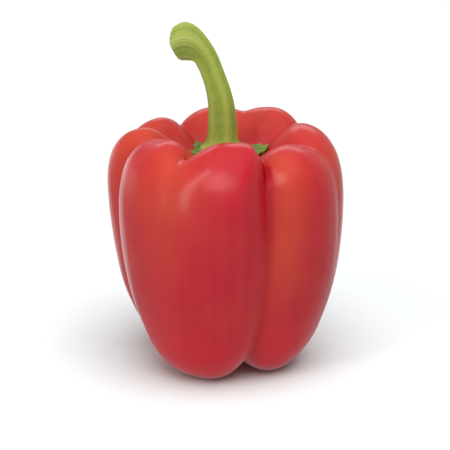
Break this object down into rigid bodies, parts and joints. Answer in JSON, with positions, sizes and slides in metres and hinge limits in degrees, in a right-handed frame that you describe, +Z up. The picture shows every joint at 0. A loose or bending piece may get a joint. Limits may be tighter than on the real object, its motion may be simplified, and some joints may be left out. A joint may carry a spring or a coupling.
{
  "type": "bell pepper",
  "caption": "Blocky sweet pepper standing on its lobes: a furrowed red fruit with a green calyx in its sunken crown and a curved, ribbed stem with a thick cut end.",
  "frame": {"origin": "under the middle of the part's box, on the surface that the pepper stands on", "axes": "+Z up along the fruit, the longest extent; -Y is the front, as seen in the picture; +X is to the right of it, and the stem bends over towards -X"},
  "size_m": [0.0834, 0.0834, 0.1226],
  "materials": {
    "skin": "smooth waxy red skin with a soft gloss, paler and more orange on the shoulders",
    "calyx": "matt leafy green with fine radial veins",
    "stem": "yellow-green, ribbed lengthwise, with darker green streaks and a pale dry cut end"
  },
  "bodies": {
    "root": {"fruit": "skin", "calyx": "calyx", "stem": "stem"}
  },
  "joints": []
}
